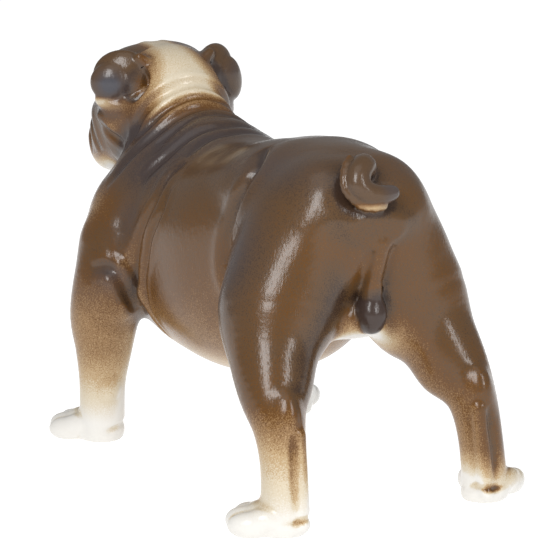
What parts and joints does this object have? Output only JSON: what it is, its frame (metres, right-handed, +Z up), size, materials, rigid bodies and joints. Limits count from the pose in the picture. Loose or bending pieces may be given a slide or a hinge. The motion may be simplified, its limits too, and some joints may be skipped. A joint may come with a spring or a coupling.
{
  "type": "ceramic dog figurine",
  "caption": "Standing porcelain bulldog figurine: hollow slip-cast torso, head and legs, with luted ears, tail and scrotum.",
  "frame": {"origin": "on the surface that the dog stands on, under the middle of its outline", "axes": "+Z up, the dog faces -Y and its left side is towards +X"},
  "size_m": [0.1212, 0.2102, 0.1472],
  "materials": {
    "brown_glaze": "glossy",
    "faded_glaze": "glossy",
    "dark_glaze": "glossy"
  },
  "bodies": {
    "root": {"torso": "brown_glaze", "head": "brown_glaze", "left_ear": "dark_glaze", "right_ear": "dark_glaze", "fore_left_leg": "faded_glaze", "fore_right_leg": "faded_glaze", "hind_left_leg": "faded_glaze", "hind_right_leg": "faded_glaze", "tail": "dark_glaze", "scrotum": "dark_glaze"}
  },
  "joints": []
}
